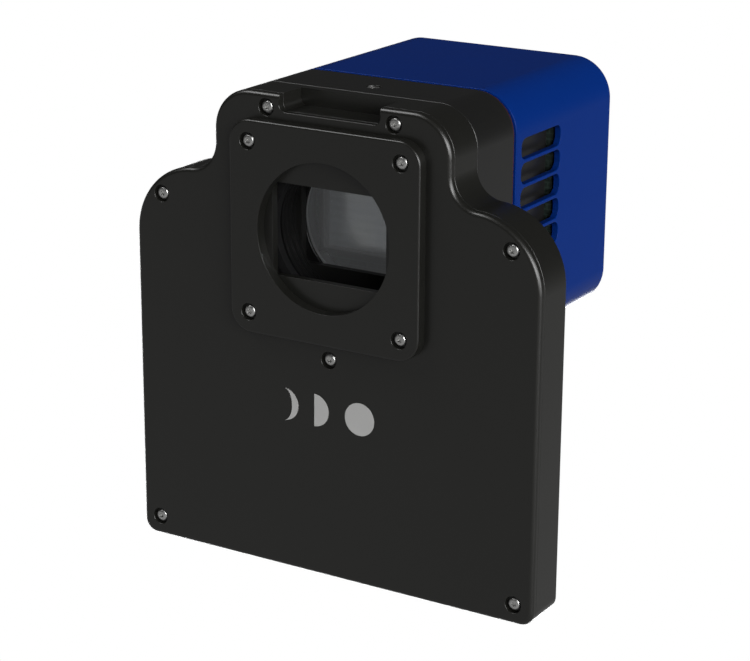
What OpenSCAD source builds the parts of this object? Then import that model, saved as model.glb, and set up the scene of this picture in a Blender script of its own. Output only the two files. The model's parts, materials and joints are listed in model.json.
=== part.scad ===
// Cooled astronomy camera with an internal five-place filter wheel.
// The origin is the centre of the nose bore on the adapter plate's front face.
// Light enters along +Y, +X is to the right of the front view and +Z is up.

/* [Adapter plate] */
// Side of the square adapter plate
plate_w = 91.6; // [86:0.1:95]
// Corner radius of the adapter plate
plate_corner_r = 10; // [6:0.5:12]
// Thickness of the adapter plate
plate_t = 5; // [4.5:0.1:6]
// Radius of the nose bore
nose_r = 32; // [28:0.5:33]
// Half the spacing of the plate screws
plate_screw_at = 36.75; // [36:0.05:38]

/* [Wheel housing] */
// Full width of the wheel housing
housing_w = 196.4; // [194:0.1:200]
// Lowest edge of the wheel housing
housing_bottom_z = -151.3; // [-155:0.1:-148]
// Radius of the two lower corners
foot_corner_r = 6; // [5:0.5:10]
// Radius of the two shoulders
shoulder_r = 31.3; // [28:0.1:33]
// Height of the shoulders' centres
shoulder_z = -11.1; // [-12:0.1:-8]
// Radius of the hollow between shoulder and neck
hollow_r = 12.8; // [12:0.1:15]
// Thickness of the front cover
cover_t = 3.5; // [3.2:0.1:3.8]
// Depth of the wheel housing behind the cover
housing_d = 18.5; // [17:0.1:19]
// Wall of the wheel housing
housing_wall = 4; // [3:0.1:4.5]
// Width of the window in the cover and in the sensor housing
window_w = 55; // [50:0.5:56]
// Height of that window
window_h = 40; // [36:0.1:42]
// Width of the notch in the top edge
notch_w = 48.4; // [40:0.2:50]
// Height of the notch's floor
notch_z = 49.5; // [48.5:0.1:52]

/* [Rear bodies] */
// Side of the square neck, the sensor housing and the rear shell
body_w = 113.5; // [112:0.1:116]
// Corner radius of the square bodies
body_corner_r = 17.8; // [16:0.1:19]
// Depth of the black sensor housing
sensor_housing_d = 30.5; // [30:0.1:34]
// Depth of the blue rear shell
shell_d = 89.1; // [86:0.1:92]
// Wall of the rear shell
shell_wall = 3; // [2.4:0.1:3.2]
// Number of vent slots in each side
vent_count = 7; // [3:2:7]
// Length of a vent slot
vent_l = 35.6; // [30:0.2:36]
// Height of a vent slot
vent_h = 9.05; // [7:0.05:9.5]
// Spacing of the vent slots
vent_pitch = 10.65; // [10.2:0.05:11]

/* [Filter wheel] */
// Distance from the light path to the wheel's axle
wheel_arm = 53.2; // [53:0.1:54]
// Radius of the filter wheel
wheel_r = 86; // [85:0.5:87]
// Thickness of the filter wheel
wheel_t = 4; // [3.5:0.1:4]
// Number of places on the wheel
wheel_places = 5; // [5:1:5]
// Radius of each place
place_r = 29.5; // [27:0.1:29.6]
// Radius of the filter wheel's axle
axle_r = 4; // [3.5:0.1:4.5]
// Radius of the rubber-tyred drive roller
roller_r = 6; // [5:0.1:8]
// How far the shutter swings between open and closed
shutter_swing = 72; // [72:1:74]

/* [Fans] */
// Side of each square fan
fan_w = 40; // [40:0.5:40]
// Thickness of each fan
fan_t = 15; // [10:0.5:16]
// Blades on each fan rotor
fan_blades = 7; // [5:1:9]

/* [Hidden] */
$fn = 96;

// Clearances
cut = 1;                // how far a cutting shape runs past a face
fit_gap = 0.05;         // radial clearance of screws, shafts and discs in their holes
run_gap = 0.5;          // free space around a turning or swinging piece

// Screws: round heads with a hex socket, shanks in tapped holes
head_r = 2.85;
head_h = 1.6;
head_sink = 0.6;
shank_r = 1.5;
counterbore_r = 3.7;
clearance_r = 1.65;
tapped_r = shank_r + fit_gap;
socket_r = 1.15;
sink_d = head_sink + head_h;

// Layers along Y
cover_y = plate_t;
housing_y = cover_y + cover_t;
body_y = housing_y + housing_d;
back_wall = 3.5;
cavity_y = body_y - back_wall;
wheel_y = housing_y + 1;
wheel_back_y = wheel_y + wheel_t;
blade_y = wheel_back_y + 0.8;
blade_t = 0.8;
hub_y = wheel_back_y + run_gap;
hub_t = 1.65;
motor_y = hub_y + hub_t + run_gap;
body_end_y = body_y + sensor_housing_d;
gasket_t = 0.8;
flange_y = body_end_y + gasket_t;
shell_y = flange_y + 1.7;
spigot_y = shell_y + 3.5;
shell_end_y = shell_y + shell_d;
panel_y = shell_end_y - shell_wall;

// Wheel housing outline
neck_x = body_w / 2;
side_x = housing_w / 2;
shoulder_x = side_x - shoulder_r;
hollow_x = neck_x + hollow_r;
bend_d = shoulder_r + hollow_r;
hollow_z = shoulder_z + sqrt(pow(bend_d, 2) - pow(hollow_x - shoulder_x, 2));
bend_angle = atan2(hollow_z - shoulder_z, hollow_x - shoulder_x);
arc_steps = 14;
notch_r = 3;
notch_end_y = body_y - 5.2;
cavity_top_z = notch_z - housing_wall;

// Cover screws as [x, z]: neck, shoulders, foot
neck_screw = [30.5, 50.75];
shoulder_screw = [84.65, 6.9];
foot_screw = [89.4, -142.65];
boss_r = 4.6;
cover_shank_l = 7;

// Wheel and shutter
wheel_z = -wheel_arm;
place_angle = 360 / wheel_places;
bearing_r = 8;
cell_rim = 5;
glass_lip = 1;
glass_t = 2;
cell_t = 3;
magnet_ring_r = 80;
magnet_r = 1.5;
magnet_t = 2;
roller_arm = wheel_r + roller_r + 0.3;
roller_angle = -45;
roller_x = roller_arm * cos(roller_angle);
roller_z = wheel_z + roller_arm * sin(roller_angle);
tyre_wall = 1.8;
shaft_r = 1.5;
drive_motor_r = 12;
ear_x = 16;
ear_r = 4;
ear_t = 1.5;
shutter_r = wheel_r - 1;
shutter_half = 36;
hub_r = 7;
shutter_motor_r = 15.5;
baffle_r = 36;
baffle_wall = 5.5;
groove_count = 4;
groove_d = 1.4;
body_screw_x = 44;
body_screw_z = [38, -44];
body_shank_l = 5;
purge_y = body_y + 12.5;
purge_seat = 1.8;
purge_head_r = 3;
purge_r = 2;

// Sensor chamber
housing_inner = 6;
front_wall = 3.5;
chamber_y = body_y + front_wall;
retainer_t = 1.2;
glass_y = chamber_y + retainer_t;
window_r = 34;
window_t = 2;
seal_r = 0.9;
seal_ring_r = 31.9;
chamber_r = 41;
chamber_bore_r = 29.5;
chamber_screw_ring = 37.8;
die_y = body_y + 8.7;
sensor_glass_y = body_y + 7.1;
package_y = sensor_glass_y + 0.8;
package_t = 3;
package = [47, 33];
sensor_glass_size = [42, 28.4];
die = [37.2, 25.8];
finger_w = 22;
finger_y = package_y + package_t;
peltier_w = 38;
peltier_t = 3.6;
peltier_y = flange_y - 5 - peltier_t;
chamber_end_y = peltier_y + 1.5;
sensor_board_y = finger_y + 2;
board_t = 1.6;

// Heat sink and boards
flange_w = body_w - 3;
spigot_w = body_w - 2 * shell_wall - 0.6;
fin_end_y = shell_y + 40.4;
fin_span = 50.5;
fin_h = 84;
fin_count = 16;
fin_t = 1.6;
side_fin_t = 4;
post_x = 44;
post_z = 48.5;
post_r = 3.2;
spacer_r = 3.9;
main_board_y = fin_end_y + 1.6;
board_w = 105;
fan_x = 24;
fan_z = 22;
fan_y = panel_y - fan_t;
fan_bore_r = 19;
fan_hub_r = 8.5;
fan_hole_at = 16;
blade_tip_r = 17.9;
blade_chord = 10;
blade_pitch = 40;
pin_r = 1.5;
post_places = [for (x = [-1, 1], z = [-1, 1]) [x * post_x, z * post_z]];
fan_screw_places = [
    for (x = [-1, 1], dx = [-1, 1], dz = [-1, 1]) [x * fan_x + dx * fan_hole_at, fan_z + dz * fan_hole_at]
];
port_z = -26;
port_board_y = fan_y - 3;
usb = [12.2, 11];
usb_x = -24;
guide = [13.4, 11.8];
guide_x = 1;
jack_x = 27;
jack_r = 6;
port_gap = 0.3;
port_inset = 0.6;
light_r = 1.5;
light_x = [-8, 0, 8];
light_z = -44;

// A prism along Y with the drawn outline, which has X across and Z up
module slab(y0, y1) translate([0, y1, 0]) rotate([90, 0, 0]) linear_extrude(y1 - y0) children();

// A rod along Y
module rod(x, z, r, y0, y1) translate([x, y0, z]) rotate([-90, 0, 0]) cylinder(r = r, h = y1 - y0);

module rounded_rect(w, h, r) {
    square([w - 2 * r, h], center = true);
    square([w, h - 2 * r], center = true);
    for (x = [-1, 1], y = [-1, 1]) translate([x * (w / 2 - r), y * (h / 2 - r)]) circle(r = r);
}

function arc(x, z, r, from, to) = [
    for (i = [0:arc_steps]) let (a = from + (to - from) * i / arc_steps) [x + r * cos(a), z + r * sin(a)]
];

// The right half of the housing's outline from foot to neck, moved in by `inset`
function right_half(inset) = concat(
    arc(side_x - foot_corner_r, housing_bottom_z + foot_corner_r, foot_corner_r - inset, -90, 0),
    arc(shoulder_x, shoulder_z, shoulder_r - inset, 0, bend_angle),
    arc(hollow_x, hollow_z, hollow_r + inset, bend_angle + 180, 180),
    arc(neck_x - body_corner_r, neck_x - body_corner_r, body_corner_r - inset, 0, 90)
);

module housing_outline(inset = 0) {
    right = right_half(inset);
    last = len(right) - 1;
    left = [for (i = [last:-1:0]) [-right[i][0], right[i][1]]];
    polygon(concat(right, left));
}

// A screw whose head starts at y, with its shank towards +Y
module screw(x, y, z, length) {
    difference() {
        union() {
            translate([x, y, z]) rotate([-90, 0, 0]) cylinder(r1 = head_r * 0.6, r2 = head_r, h = head_h / 2);
            rod(x, z, head_r, y + head_h / 2, y + head_h);
            rod(x, z, shank_r, y + head_h - fit_gap, y + head_h + length);
        }
        translate([x, y - cut, z]) rotate([-90, 0, 0])
            cylinder(r = socket_r, h = cut + head_h * 0.6, $fn = 6);
    }
}

// A hole for such a screw: counterbore from y, then a clearance hole on to y_end
module screw_hole(x, y, z, y_end) {
    rod(x, z, counterbore_r, y - cut, y + sink_d);
    rod(x, z, clearance_r, y, y_end + cut);
}

function cover_screw_places() = concat(
    [for (s = [-1, 1], p = [neck_screw, shoulder_screw, foot_screw]) [s * p[0], p[1]]],
    [[0, wheel_z]]
);

module adapter_plate() color("#2b2b29") difference() {
    slab(0, plate_t) rounded_rect(plate_w, plate_w, plate_corner_r);
    rod(0, 0, nose_r, -cut, plate_t + cut);
    for (x = [-1, 1], z = [-1, 1]) screw_hole(x * plate_screw_at, 0, z * plate_screw_at, plate_t);
}

module plate_screws() color("#c9c9c7")
    for (x = [-1, 1], z = [-1, 1])
        screw(x * plate_screw_at, head_sink, z * plate_screw_at, plate_t + cover_t - sink_d - head_sink);

module notch(y_end) {
    depth = 2 * (neck_x - notch_z);
    slab(cover_y - cut, y_end) translate([0, neck_x]) rounded_rect(notch_w, depth, notch_r);
}

module front_cover() color("#282826") difference() {
    slab(cover_y, housing_y) housing_outline();
    slab(cover_y - cut, housing_y + cut) square([window_w, window_h], center = true);
    notch(housing_y + cut);
    for (p = cover_screw_places()) screw_hole(p[0], cover_y, p[1], housing_y);
    for (x = [-1, 1], z = [-1, 1])
        rod(x * plate_screw_at, z * plate_screw_at, tapped_r, cover_y - cut, housing_y + cut);
}

module cover_screws() color("#c9c9c7")
    for (p = cover_screw_places()) screw(p[0], cover_y + head_sink, p[1], cover_shank_l);

module housing_cavity() slab(housing_y - cut, cavity_y) intersection() {
    housing_outline(housing_wall);
    translate([-side_x, cavity_top_z - housing_w]) square([housing_w, housing_w]);
}

module wheel_housing() color("#2a2a28") difference() {
    union() {
        difference() {
            slab(housing_y, body_y) housing_outline();
            housing_cavity();
        }
        for (s = [-1, 1], p = [shoulder_screw, foot_screw]) rod(s * p[0], p[1], boss_r, housing_y, body_y);
    }
    notch(notch_end_y);
    for (s = [-1, 1], p = [neck_screw, shoulder_screw, foot_screw])
        rod(s * p[0], p[1], tapped_r, housing_y - cut, cavity_y);
    rod(0, 0, baffle_r + fit_gap, cavity_y - cut, body_y + cut);
    rod(0, wheel_z, axle_r, cavity_y - cut, body_y - 1);
    for (x = [-1, 1], z = body_screw_z) {
        rod(x * body_screw_x, z, counterbore_r, cavity_y - cut, cavity_y + head_h);
        rod(x * body_screw_x, z, clearance_r, cavity_y, body_y + cut);
    }
    for (x = [-1, 1]) rod(roller_x + x * ear_x, roller_z, tapped_r, cavity_y - cut, body_y - 1);
}

// Children drawn once at each chosen place of the wheel, 0 being the one in the light path
module at_places(which) for (i = which)
    translate([0, 0, wheel_z]) rotate([0, i * place_angle, 0]) translate([0, 0, wheel_arm]) children();

module at_magnets() for (i = [0:wheel_places - 1])
    translate([0, 0, wheel_z]) rotate([0, (i + 0.5) * place_angle, 0])
        translate([0, 0, magnet_ring_r]) children();

module filter_wheel() color("#1d1d1f") difference() {
    rod(0, wheel_z, wheel_r, wheel_y, wheel_back_y);
    rod(0, wheel_z, bearing_r, wheel_y - cut, wheel_back_y + cut);
    at_places([0:wheel_places - 1]) rod(0, 0, place_r, wheel_y - cut, wheel_back_y + cut);
    at_magnets() rod(0, 0, magnet_r + fit_gap, wheel_back_y - magnet_t, wheel_back_y + cut);
}

module wheel_magnets() color("#b9bbbf") at_magnets()
    rod(0, 0, magnet_r, wheel_back_y - magnet_t + fit_gap, wheel_back_y - fit_gap);

module wheel_bearing() color("#b4b6ba") difference() {
    rod(0, wheel_z, bearing_r - fit_gap, wheel_y + 0.2, wheel_back_y);
    rod(0, wheel_z, axle_r + fit_gap, wheel_y, wheel_back_y + cut);
}

module filter_cells() color("#3a3a3d") at_places([1:wheel_places - 1]) difference() {
    rod(0, 0, place_r - fit_gap, wheel_y + 0.5, wheel_y + 0.5 + cell_t);
    rod(0, 0, place_r - cell_rim, wheel_y, wheel_back_y);
    rod(0, 0, place_r - cell_rim + glass_lip + fit_gap, wheel_y + 1, wheel_y + 1 + glass_t);
}

module filter_glass(place) at_places([place])
    rod(0, 0, place_r - cell_rim + glass_lip, wheel_y + 1 + fit_gap, wheel_y + 1 + glass_t - fit_gap);

module red_filter() color("#b3252d") filter_glass(1);
module green_filter() color("#2f8f4a") filter_glass(2);
module blue_filter() color("#2b4fae") filter_glass(3);
module clear_filter() color("#cfd8dc") filter_glass(4);

module wheel_axle() color("#a9abaf") difference() {
    rod(0, wheel_z, axle_r - fit_gap, housing_y, body_y - 1);
    rod(0, wheel_z, tapped_r, housing_y - cut, housing_y + cover_shank_l);
}

module axle_clip() color("#8d8f93") difference() {
    rod(0, wheel_z, axle_r + 2.2, housing_y + 0.1, housing_y + 0.7);
    rod(0, wheel_z, axle_r, housing_y, housing_y + cut);
}

module drive_motor() color("#77797c") difference() {
    union() {
        rod(roller_x, roller_z, drive_motor_r, wheel_back_y + 1.4, cavity_y);
        for (x = [-1, 1]) rod(roller_x + x * ear_x, roller_z, ear_r, cavity_y - ear_t, cavity_y);
        slab(cavity_y - ear_t, cavity_y)
            translate([roller_x, roller_z]) square([2 * ear_x, 2 * ear_r - 1], center = true);
    }
    rod(roller_x, roller_z, shaft_r + fit_gap, wheel_back_y, cavity_y - 2);
    for (x = [-1, 1])
        rod(roller_x + x * ear_x, roller_z, clearance_r, cavity_y - ear_t - cut, cavity_y + cut);
}

module motor_shaft() color("#c2c4c8")
    rod(roller_x, roller_z, shaft_r, wheel_y + 0.2, cavity_y - 2.5);

module drive_roller() color("#c9a94b") difference() {
    rod(roller_x, roller_z, roller_r - tyre_wall, wheel_y + 0.2, wheel_back_y - 0.2);
    rod(roller_x, roller_z, shaft_r, wheel_y, wheel_back_y);
}

module roller_tyre() color("#19191a") difference() {
    rod(roller_x, roller_z, roller_r, wheel_y + 0.4, wheel_back_y - 0.4);
    rod(roller_x, roller_z, roller_r - tyre_wall, wheel_y, wheel_back_y);
}

module motor_screws() color("#c9c9c7") for (x = [-1, 1])
    screw(roller_x + x * ear_x, cavity_y - ear_t - head_h, roller_z, ear_t + 2);

// The shutter's rest place is open, swung to the left of the light path
module shutter_blade() color("#202022") difference() {
    slab(blade_y, blade_y + blade_t) translate([0, wheel_z]) rotate([0, 0, shutter_swing])
        intersection() {
            circle(r = shutter_r);
            polygon([[0, 0], [tan(shutter_half), 1] * shutter_r, [-tan(shutter_half), 1] * shutter_r]);
        }
    rod(0, wheel_z, hub_r + fit_gap, blade_y - cut, blade_y + cut + blade_t);
}

module shutter_hub() color("#8c8f94") difference() {
    rod(0, wheel_z, hub_r, hub_y, hub_y + hub_t);
    rod(0, wheel_z, axle_r + fit_gap, hub_y - cut, hub_y + hub_t + cut);
}

module shutter_motor() color("#55575b") difference() {
    rod(0, wheel_z, shutter_motor_r, motor_y, cavity_y);
    rod(0, wheel_z, axle_r + run_gap, motor_y - cut, cavity_y + cut);
}

module index_sensor() color("#1f5a3a") {
    x = magnet_ring_r * sin(place_angle / 2);
    z = wheel_z + magnet_ring_r * cos(place_angle / 2);
    translate([x, cavity_y - board_t / 2, z]) cube([12, board_t, 9], center = true);
    translate([x, cavity_y - board_t - 2.5, z]) cube([4, 5, 3], center = true);
}

module light_baffle() color("#1a1a1b") difference() {
    rod(0, 0, baffle_r, motor_y, body_y);
    rod(0, 0, baffle_r - baffle_wall, motor_y - cut, body_y + cut);
    for (i = [0:groove_count - 1]) {
        y = motor_y + 1.2 + i * (body_y - motor_y - 1) / groove_count;
        rod(0, 0, baffle_r - baffle_wall + groove_d, y, y + 1);
    }
}

module body_screws() color("#c9c9c7") for (x = [-1, 1], z = body_screw_z)
    screw(x * body_screw_x, cavity_y, z, body_shank_l);

module sensor_housing() color("#2c2d2e") difference() {
    slab(body_y, body_end_y) rounded_rect(body_w, body_w, body_corner_r);
    slab(chamber_y, body_end_y + cut)
        rounded_rect(body_w - 2 * housing_inner, body_w - 2 * housing_inner, body_corner_r - housing_inner);
    slab(body_y - cut, chamber_y + cut) square([window_w, window_h], center = true);
    for (x = [-1, 1], z = body_screw_z)
        rod(x * body_screw_x, z, tapped_r, body_y - cut, chamber_y - 0.3);
    translate([0, purge_y, neck_x - purge_seat]) cylinder(r = purge_head_r + 0.2, h = purge_seat + cut);
    translate([0, purge_y, neck_x - housing_inner - cut]) cylinder(r = purge_r + fit_gap, h = housing_inner);
    at_chamber_screws() rod(0, 0, tapped_r, body_y + 1, chamber_y + cut);
}

module purge_plug() color("#d0d0ce") translate([0, purge_y, neck_x]) difference() {
    union() {
        translate([0, 0, -purge_seat]) cylinder(r = purge_head_r, h = purge_seat - 0.6);
        translate([0, 0, -housing_inner]) cylinder(r = purge_r, h = housing_inner - purge_seat + 0.6);
    }
    translate([0, 0, -purge_seat]) cylinder(r = socket_r, h = purge_seat, $fn = 6);
}

module at_chamber_screws() for (a = [45:90:315])
    translate([chamber_screw_ring * cos(a), 0, chamber_screw_ring * sin(a)]) children();

module window_retainer() color("#232324") difference() {
    rod(0, 0, chamber_r, chamber_y, glass_y);
    rod(0, 0, window_r - 5.6, chamber_y - cut, glass_y + cut);
    at_chamber_screws() rod(0, 0, clearance_r, chamber_y - cut, glass_y + cut);
}

module chamber_window() color("#c6d6df") rod(0, 0, window_r, glass_y, glass_y + window_t);

module window_seal() color("#161616")
    translate([0, glass_y + window_t + seal_r, 0]) rotate([90, 0, 0])
        rotate_extrude() translate([seal_ring_r, 0]) circle(r = seal_r);

module sensor_chamber() color("#8f9194") difference() {
    rod(0, 0, chamber_r, glass_y, chamber_end_y);
    rod(0, 0, window_r + fit_gap, glass_y - cut, glass_y + window_t);
    rod(0, 0, seal_ring_r + 1, glass_y, glass_y + window_t + 2 * seal_r);
    rod(0, 0, chamber_bore_r, glass_y, chamber_end_y + cut);
    at_chamber_screws() rod(0, 0, clearance_r, glass_y - cut, chamber_end_y + cut);
}

module chamber_screws() color("#c9c9c7") at_chamber_screws()
    rear_screw(0, chamber_end_y + head_h, 0, chamber_end_y - body_y - 2);

module sensor_package() color("#4d4a45") difference() {
    slab(package_y, package_y + package_t) square(package, center = true);
    slab(package_y - cut, package_y + package_t / 2) square(die + [2, 2], center = true);
}

module sensor_die() color("#6f7a80")
    slab(die_y, package_y + package_t / 2) square(die, center = true);

module sensor_glass() color("#aab4b8")
    slab(sensor_glass_y, package_y) square(sensor_glass_size, center = true);

module cold_finger() color("#b87a4b")
    slab(finger_y, peltier_y) square([finger_w, finger_w], center = true);

module peltier_module() color("#e8e6df") {
    slab(peltier_y, peltier_y + 1) square([peltier_w, peltier_w], center = true);
    slab(peltier_y + 1, peltier_y + peltier_t - 1) square([peltier_w - 3, peltier_w - 3], center = true);
    slab(peltier_y + peltier_t - 1, peltier_y + peltier_t) square([peltier_w, peltier_w], center = true);
}

module sensor_board() color("#1d4d33") difference() {
    rod(0, 0, chamber_bore_r - 0.5, sensor_board_y, sensor_board_y + board_t);
    slab(sensor_board_y - cut, sensor_board_y + board_t + cut)
        square([finger_w + 2, finger_w + 2], center = true);
}

module rear_gasket() color("#5a1418") slab(body_end_y, flange_y) difference() {
    rounded_rect(body_w - 0.6, body_w - 0.6, body_corner_r - 0.3);
    rounded_rect(body_w - 2 * housing_inner, body_w - 2 * housing_inner, body_corner_r - housing_inner);
}

module heat_sink() color("#1c1c1e") {
    difference() {
        union() {
            slab(flange_y, shell_y) rounded_rect(flange_w, flange_w, body_corner_r - 1.5);
            slab(shell_y, spigot_y) rounded_rect(spigot_w, spigot_w, body_corner_r - shell_wall - 0.3);
            slab(peltier_y + peltier_t, flange_y) square([peltier_w, peltier_w], center = true);
        }
        for (p = post_places) rod(p[0], p[1], tapped_r, shell_y, spigot_y + cut);
    }
    root_y = spigot_y - cut;
    side_x = fin_span - side_fin_t / 2;
    round_y = fin_end_y - side_fin_t / 2;
    for (i = [1:fin_count - 2]) {
        x = side_x * (2 * i / (fin_count - 1) - 1);
        translate([x - fin_t / 2, root_y, -fin_h / 2]) cube([fin_t, fin_end_y - root_y, fin_h]);
    }
    for (s = [-1, 1]) translate([s * side_x, 0, -fin_h / 2]) {
        translate([-side_fin_t / 2, root_y, 0]) cube([side_fin_t, round_y - root_y, fin_h]);
        translate([0, round_y, 0]) cylinder(r = side_fin_t / 2, h = fin_h);
    }
}

module shell_posts() color("#b9babd") for (p = post_places) difference() {
    union() {
        rod(p[0], p[1], post_r, spigot_y, panel_y);
        rod(p[0], p[1], shank_r, shell_y + 0.3, spigot_y + cut);
    }
    rod(p[0], p[1], tapped_r, panel_y - cover_shank_l - cut, panel_y + cut);
}

module board_spacers() color("#d8d6cf") for (p = post_places) difference() {
    rod(p[0], p[1], spacer_r, spigot_y, main_board_y);
    rod(p[0], p[1], post_r + fit_gap, spigot_y - cut, main_board_y + cut);
}

module main_board() color("#1d4d33") difference() {
    slab(main_board_y, main_board_y + board_t) {
        rounded_rect(2 * (post_x + 4), 2 * (post_z + 3.5), 7);
        rounded_rect(board_w, fin_h - 4, 3);
    }
    for (p = post_places) rod(p[0], p[1], post_r + fit_gap, main_board_y - cut, main_board_y + board_t + cut);
}

// Chips as [x, z, width, height, depth] and capacitors as [x, z, radius, depth]
chips = [
    [-20, 12, 18, 18, 2], [14, 20, 12, 8, 1.6], [16, -2, 10, 14, 1.6], [-26, -16, 10, 6, 1.4],
    [0, -32, 24, 6, 5]
];
capacitors = [[32, 34, 4, 9], [32, 22, 4, 9], [-34, 34, 3, 7], [-10, 34, 3, 7]];

module board_parts() color("#2a2a2c") {
    front = main_board_y + board_t;
    for (c = chips) translate([c[0], front + c[4] / 2, c[1]]) cube([c[2], c[4], c[3]], center = true);
    for (c = capacitors) rod(c[0], c[1], c[2], front, front + c[3]);
}

module ribbon_cable() color("#8a8c90")
    slab(main_board_y + board_t + 5, port_board_y) translate([0, -32]) square([20, 0.9], center = true);

module connector_board() color("#1d4d33")
    slab(port_board_y, port_board_y + board_t) translate([0, -30]) square([76, 30], center = true);

module usb_port() color("#c4c6c9") difference() {
    slab(port_board_y + board_t, shell_end_y - port_inset)
        translate([usb_x, port_z]) square(usb, center = true);
    slab(shell_end_y - 9, shell_end_y) difference() {
        translate([usb_x, port_z]) square(usb - [2, 2], center = true);
        translate([usb_x, port_z]) square(usb / 2, center = true);
    }
}

module guide_port() color("#2b2b2d") difference() {
    slab(port_board_y + board_t, shell_end_y - port_inset)
        translate([guide_x, port_z]) square(guide, center = true);
    slab(shell_end_y - 9, shell_end_y) translate([guide_x, port_z]) square(guide - [4, 5], center = true);
}

module power_jack() color("#1b1b1c") {
    difference() {
        rod(jack_x, port_z, jack_r, port_board_y + board_t, shell_end_y - port_inset);
        rod(jack_x, port_z, jack_r - 2.8, shell_end_y - 10, shell_end_y);
    }
    rod(jack_x, port_z, 1.05, shell_end_y - 10 - fit_gap, shell_end_y - 2);
}

module status_lights() color("#57c46a") for (x = light_x)
    rod(x, light_z, light_r, port_board_y + board_t, shell_end_y - fit_gap);

module fan_frame(x) difference() {
    union() {
        slab(fan_y, panel_y) translate([x, fan_z]) difference() {
            rounded_rect(fan_w, fan_w, 3);
            circle(r = fan_bore_r);
        }
        slab(fan_y, fan_y + 1.6) translate([x, fan_z]) {
            circle(r = fan_hub_r);
            for (a = [30, 150, 270]) rotate(a) translate([0, -1.2]) square([fan_bore_r + 0.5, 2.4]);
        }
        rod(x, fan_z, pin_r, fan_y, panel_y - 3);
    }
    for (dx = [-1, 1], dz = [-1, 1])
        rod(x + dx * fan_hole_at, fan_z + dz * fan_hole_at, tapped_r, panel_y - cover_shank_l, panel_y + cut);
}

module fan_rotor(x) difference() {
    union() {
        rod(x, fan_z, fan_hub_r, fan_y + 1.6 + run_gap, panel_y - 1.5);
        translate([x, (fan_y + panel_y) / 2 + 0.6, fan_z]) for (i = [0:fan_blades - 1])
            rotate([0, i * 360 / fan_blades, 0]) rotate([0, 0, blade_pitch])
                translate([-blade_chord / 2, -0.5, fan_hub_r - 1])
                    cube([blade_chord, 1, blade_tip_r - fan_hub_r + 1]);
    }
    rod(x, fan_z, pin_r + fit_gap, fan_y, panel_y - 2.5);
}

module left_fan_frame() color("#161617") fan_frame(-fan_x);
module left_fan_rotor() color("#202022") fan_rotor(-fan_x);
module right_fan_frame() color("#161617") fan_frame(fan_x);
module right_fan_rotor() color("#202022") fan_rotor(fan_x);

// Ring slots with four spokes, open in front of one fan
module grille() difference() {
    for (r = [5, 9.5, 14]) difference() {
        circle(r = r + 3);
        circle(r = r);
    }
    for (a = [45, 135]) rotate(a) square([2 * fan_bore_r + cut, 2], center = true);
}

module vent() rotate([90, 0, 90]) linear_extrude(body_w + 2 * cut, center = true)
    rounded_rect(vent_l, vent_h, vent_h * 0.4);

module rear_shell() color("#0f2a6e") difference() {
    slab(shell_y, shell_end_y) rounded_rect(body_w, body_w, body_corner_r);
    slab(shell_y - cut, panel_y)
        rounded_rect(body_w - 2 * shell_wall, body_w - 2 * shell_wall, body_corner_r - shell_wall);
    for (i = [0:vent_count - 1])
        translate([0, shell_y + 4.8 + vent_l / 2, (i - (vent_count - 1) / 2) * vent_pitch]) vent();
    for (x = [-1, 1]) slab(panel_y - cut, shell_end_y + cut) translate([x * fan_x, fan_z]) grille();
    for (p = concat(fan_screw_places, post_places)) {
        rod(p[0], p[1], clearance_r, panel_y - cut, shell_end_y);
        rod(p[0], p[1], counterbore_r, shell_end_y - head_h, shell_end_y + cut);
    }
    slab(panel_y - cut, shell_end_y + cut) {
        translate([usb_x, port_z]) square(usb + [port_gap, port_gap], center = true);
        translate([guide_x, port_z]) square(guide + [port_gap, port_gap], center = true);
    }
    rod(jack_x, port_z, jack_r + port_gap / 2, panel_y - cut, shell_end_y + cut);
    for (x = light_x) rod(x, light_z, light_r + port_gap / 2, panel_y - cut, shell_end_y + cut);
}

// A screw put in from behind, its head's outer face at y
module rear_screw(x, y, z, length) translate([0, y, 0]) mirror([0, 1, 0]) screw(x, 0, z, length);

module shell_screws() color("#c9c9c7")
    for (p = post_places) rear_screw(p[0], shell_end_y, p[1], cover_shank_l);

module fan_screws() color("#c9c9c7")
    for (p = fan_screw_places) rear_screw(p[0], shell_end_y, p[1], cover_shank_l);

adapter_plate();
plate_screws();
front_cover();
cover_screws();
wheel_housing();
filter_wheel();
wheel_magnets();
wheel_bearing();
filter_cells();
red_filter();
green_filter();
blue_filter();
clear_filter();
wheel_axle();
axle_clip();
drive_motor();
motor_shaft();
drive_roller();
roller_tyre();
motor_screws();
shutter_blade();
shutter_hub();
shutter_motor();
index_sensor();
light_baffle();
body_screws();
sensor_housing();
purge_plug();
window_retainer();
chamber_window();
window_seal();
sensor_chamber();
chamber_screws();
sensor_package();
sensor_die();
sensor_glass();
cold_finger();
peltier_module();
sensor_board();
rear_gasket();
heat_sink();
shell_posts();
board_spacers();
main_board();
board_parts();
ribbon_cable();
connector_board();
usb_port();
power_jack();
guide_port();
status_lights();
left_fan_frame();
left_fan_rotor();
right_fan_frame();
right_fan_rotor();
rear_shell();
shell_screws();
fan_screws();
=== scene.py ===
"""A cooled astronomy camera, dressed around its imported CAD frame.

The sizes inside the classes are millimetres, and places come from the frame's own boxes. Each new mesh is
built from rings of points worked out as whole arrays, and is turned into metres when it is finished.
"""

import json
import logging
import math
from dataclasses import dataclass, replace
from enum import Enum
from typing import Iterable, Sequence

import bmesh
import bpy
import numpy as np
from mathutils import Matrix, Vector
from mathutils.geometry import tessellate_polygon


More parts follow.
